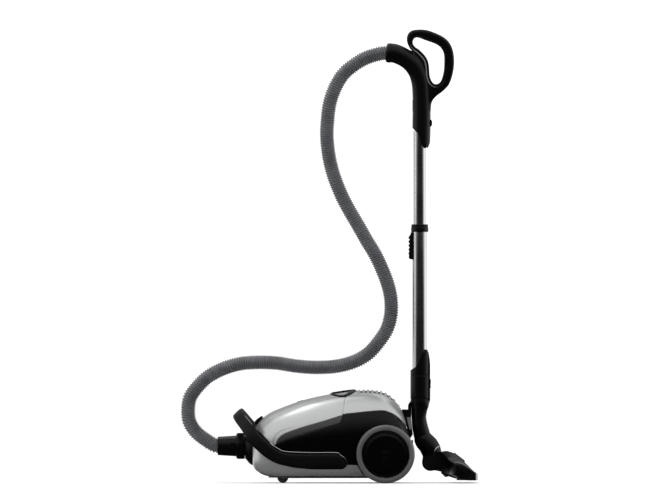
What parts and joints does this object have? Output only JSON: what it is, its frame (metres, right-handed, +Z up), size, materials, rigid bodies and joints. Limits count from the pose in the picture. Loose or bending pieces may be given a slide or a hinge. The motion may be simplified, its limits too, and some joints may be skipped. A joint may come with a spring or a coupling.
{
  "type": "canister vacuum cleaner",
  "caption": "Wheeled canister vacuum cleaner parked upright: loop handle in front, corrugated hose, bent handle with loop grip, telescopic wand and floor tool hung on the rear bracket",
  "frame": {"origin": "middle of the footprint of everything but the hose, on the floor", "axes": "+X to the rear of the canister, where the wand is parked; -X to the hose inlet; +Z up; Y across, with y = 0 the plane that the wand and hose lie in"},
  "size_m": [0.723, 0.301, 1.1055],
  "materials": {
    "silver_shell": "silver metallic moulded plastic, semi-gloss",
    "gloss_black": "gloss black plastic",
    "satin_black": "satin black plastic",
    "bright_trim": "bright metallised plastic",
    "tube_metal": "polished drawn tube",
    "tread": "smooth dark grey rubber",
    "edge_rubber": "light grey soft strip",
    "steel": "turned steel",
    "sole_metal": "brushed sheet",
    "window": "dark smoked window",
    "bag_paper": "filter paper",
    "filter_fabric": "pleated filter fleece",
    "motor_plastic": "dark grey moulded plastic",
    "hose_plastic": "grey-black corrugated hose",
    "bristle": "black bristle strip"
  },
  "bodies": {
    "canister": {"lower_tub": "silver_shell", "front_panel": "gloss_black", "side_panel_near": "gloss_black", "side_panel_far": "gloss_black", "rear_cover": "silver_shell", "rear_panel": "satin_black", "console_bezel": "gloss_black", "bumper_handle": "satin_black", "chrome_trim_near": "bright_trim", "chrome_trim_far": "bright_trim", "inlet_collar": "satin_black", "parking_bracket": "satin_black", "cord_outlet": "satin_black", "axle_stub_near": "steel", "axle_stub_far": "steel", "dust_bag": "bag_paper", "bag_holder": "motor_plastic", "motor_filter": "filter_fabric", "exhaust_filter": "filter_fabric", "motor_housing": "motor_plastic", "hose_lower": "hose_plastic"},
    "lid_body": {"lid": "silver_shell", "bag_full_indicator": "window"},
    "latch": {"lid_latch": "satin_black"},
    "grille": {"exhaust_grille": "silver_shell"},
    "power": {"power_button": "silver_shell"},
    "rewind": {"cord_rewind_button": "silver_shell"},
    "suction": {"suction_slider": "satin_black"},
    "wheel_near": {"wheel_tyre_near": "tread", "wheel_hub_near": "gloss_black"},
    "wheel_far": {"wheel_tyre_far": "tread", "wheel_hub_far": "gloss_black"},
    "caster": {"caster_turret": "satin_black", "caster_pin": "steel"},
    "caster_roller": {"caster_wheel": "tread"},
    "rotor": {"motor_rotor": "steel"},
    "reel": {"cord_reel": "motor_plastic"},
    "connector": {"hose_connector": "satin_black"},
    "release_near": {"hose_release_near": "gloss_black"},
    "release_far": {"hose_release_far": "gloss_black"},
    "wand_lower": {"lower_tube": "tube_metal", "telescope_collar": "satin_black", "telescope_bed": "satin_black", "neck_sleeve": "satin_black"},
    "telescope_slide": {"telescope_button": "gloss_black"},
    "neck_latch": {"neck_latch_button": "gloss_black"},
    "wand_upper": {"upper_tube": "tube_metal", "handle_body": "satin_black", "hose_upper": "hose_plastic"},
    "hose_swivel": {"handle_hose_collar": "satin_black"},
    "handle_latch": {"handle_latch_button": "gloss_black"},
    "air_relief": {"air_relief_slider": "gloss_black"},
    "nozzle_neck": {"neck_elbow": "satin_black", "swivel_ring": "bright_trim"},
    "nozzle": {"nozzle_body": "satin_black", "nozzle_edge_strip": "edge_rubber", "sole_plate": "sole_metal"},
    "pedal": {"floor_pedal": "gloss_black"},
    "brush": {"brush_strip": "bristle"},
    "roller": {"nozzle_roller": "tread"}
  },
  "joints": [
    {"name": "lid_hinge", "type": "hinge", "parent": "canister", "child": "lid_body", "pos_m": [-0.005, 0, 0.2235], "axis": [0, 1, 0], "range_deg": [0, 28]},
    {"name": "lid_latch_lift", "type": "hinge", "parent": "lid_body", "child": "latch", "pos_m": [-0.2062, 0, 0.1608], "axis": [0, 1, 0], "range_deg": [0, 18], "stiffness_Nm_per_rad": 0.12, "springref_deg": -11.46},
    {"name": "exhaust_grille_hinge", "type": "hinge", "parent": "canister", "child": "grille", "pos_m": [0.1276, 0, 0.1845], "axis": [0, 1, 0], "range_deg": [0, 60]},
    {"name": "power_press", "type": "slide", "parent": "canister", "child": "power", "axis": [0, 0, -1], "range_m": [0, 0.003], "stiffness_N_per_m": 400, "springref_m": -0.002},
    {"name": "cord_rewind_press", "type": "slide", "parent": "canister", "child": "rewind", "axis": [0, 0, -1], "range_m": [0, 0.003], "stiffness_N_per_m": 400, "springref_m": -0.002},
    {"name": "suction_slide", "type": "slide", "parent": "canister", "child": "suction", "axis": [0.9879, 0, 0.155], "range_m": [-0.007, 0.007]},
    {"name": "wheel_near_roll", "type": "hinge", "parent": "canister", "child": "wheel_near", "pos_m": [0.091, 0, 0.071], "axis": [0, 1, 0], "continuous": true},
    {"name": "wheel_far_roll", "type": "hinge", "parent": "canister", "child": "wheel_far", "pos_m": [0.091, 0, 0.071], "axis": [0, 1, 0], "continuous": true},
    {"name": "caster_swivel", "type": "hinge", "parent": "canister", "child": "caster", "pos_m": [-0.168, 0, 0.0126], "axis": [0, 0, 1], "continuous": true},
    {"name": "caster_roll", "type": "hinge", "parent": "caster", "child": "caster_roller", "pos_m": [-0.159, 0, 0.014], "axis": [0, 1, 0], "continuous": true},
    {"name": "motor_spin", "type": "hinge", "parent": "canister", "child": "rotor", "pos_m": [0, -0.05, 0.074], "axis": [1, 0, 0], "continuous": true},
    {"name": "cord_reel_spin", "type": "hinge", "parent": "canister", "child": "reel", "pos_m": [0.062, 0.053, 0.086], "axis": [0, 1, 0], "continuous": true},
    {"name": "connector_swivel", "type": "hinge", "parent": "canister", "child": "connector", "pos_m": [-0.3145, 0, 0.09], "axis": [1, 0, 0], "continuous": true},
    {"name": "hose_release_near_press", "type": "slide", "parent": "connector", "child": "release_near", "axis": [0, 1, 0], "range_m": [0, 0.0012], "stiffness_N_per_m": 600, "springref_m": -0.001},
    {"name": "hose_release_far_press", "type": "slide", "parent": "connector", "child": "release_far", "axis": [0, -1, 0], "range_m": [0, 0.0012], "stiffness_N_per_m": 600, "springref_m": -0.001},
    {"name": "park_lift", "type": "slide", "parent": "canister", "child": "wand_lower", "axis": [0, 0, 1], "range_m": [0, 0.08], "deforming": ["hose_lower"]},
    {"name": "telescope_release", "type": "slide", "parent": "wand_lower", "child": "telescope_slide", "axis": [0, 0, 1], "range_m": [0, 0.006], "stiffness_N_per_m": 300, "springref_m": -0.002},
    {"name": "neck_latch_press", "type": "slide", "parent": "wand_lower", "child": "neck_latch", "axis": [-1, 0, 0], "range_m": [0, 0.0012], "stiffness_N_per_m": 600, "springref_m": -0.001},
    {"name": "telescope", "type": "slide", "parent": "wand_lower", "child": "wand_upper", "axis": [0, 0, 1], "range_m": [-0.145, 0.175], "deforming": ["hose_upper"]},
    {"name": "handle_hose_swivel", "type": "hinge", "parent": "wand_upper", "child": "hose_swivel", "pos_m": [0.1048, 0, 1.0484], "axis": [-0.9976, 0, 0.0698], "continuous": true},
    {"name": "handle_latch_press", "type": "slide", "parent": "wand_upper", "child": "handle_latch", "axis": [-1, 0, 0], "range_m": [0, 0.0012], "stiffness_N_per_m": 600, "springref_m": -0.001},
    {"name": "air_relief_slide", "type": "slide", "parent": "wand_upper", "child": "air_relief", "axis": [0, 0, 1], "range_m": [-0.006, 0.006]},
    {"name": "nozzle_swivel", "type": "hinge", "parent": "wand_lower", "child": "nozzle_neck", "pos_m": [0.1755, 0, 0.1966], "axis": [0, 0, 1], "range_deg": [-20, 20]},
    {"name": "nozzle_pitch", "type": "hinge", "parent": "nozzle_neck", "child": "nozzle", "pos_m": [0.201, 0, 0.0495], "axis": [0, 1, 0], "range_deg": [0, 50]},
    {"name": "pedal_rock", "type": "hinge", "parent": "nozzle", "child": "pedal", "pos_m": [0.2705, 0, 0.0615], "axis": [0, 1, 0], "range_deg": [0, 6]},
    {"name": "brush_drop", "type": "slide", "parent": "nozzle", "child": "brush", "axis": [0, 0, -1], "range_m": [0, 0.006]},
    {"name": "nozzle_roller_roll", "type": "hinge", "parent": "nozzle", "child": "roller", "pos_m": [0.239, 0, 0.021], "axis": [0, 1, 0], "continuous": true}
  ],
  "couplings": [
    {"joint": "brush_drop", "follows": "pedal_rock", "m_per_rad": 0.0572}
  ]
}
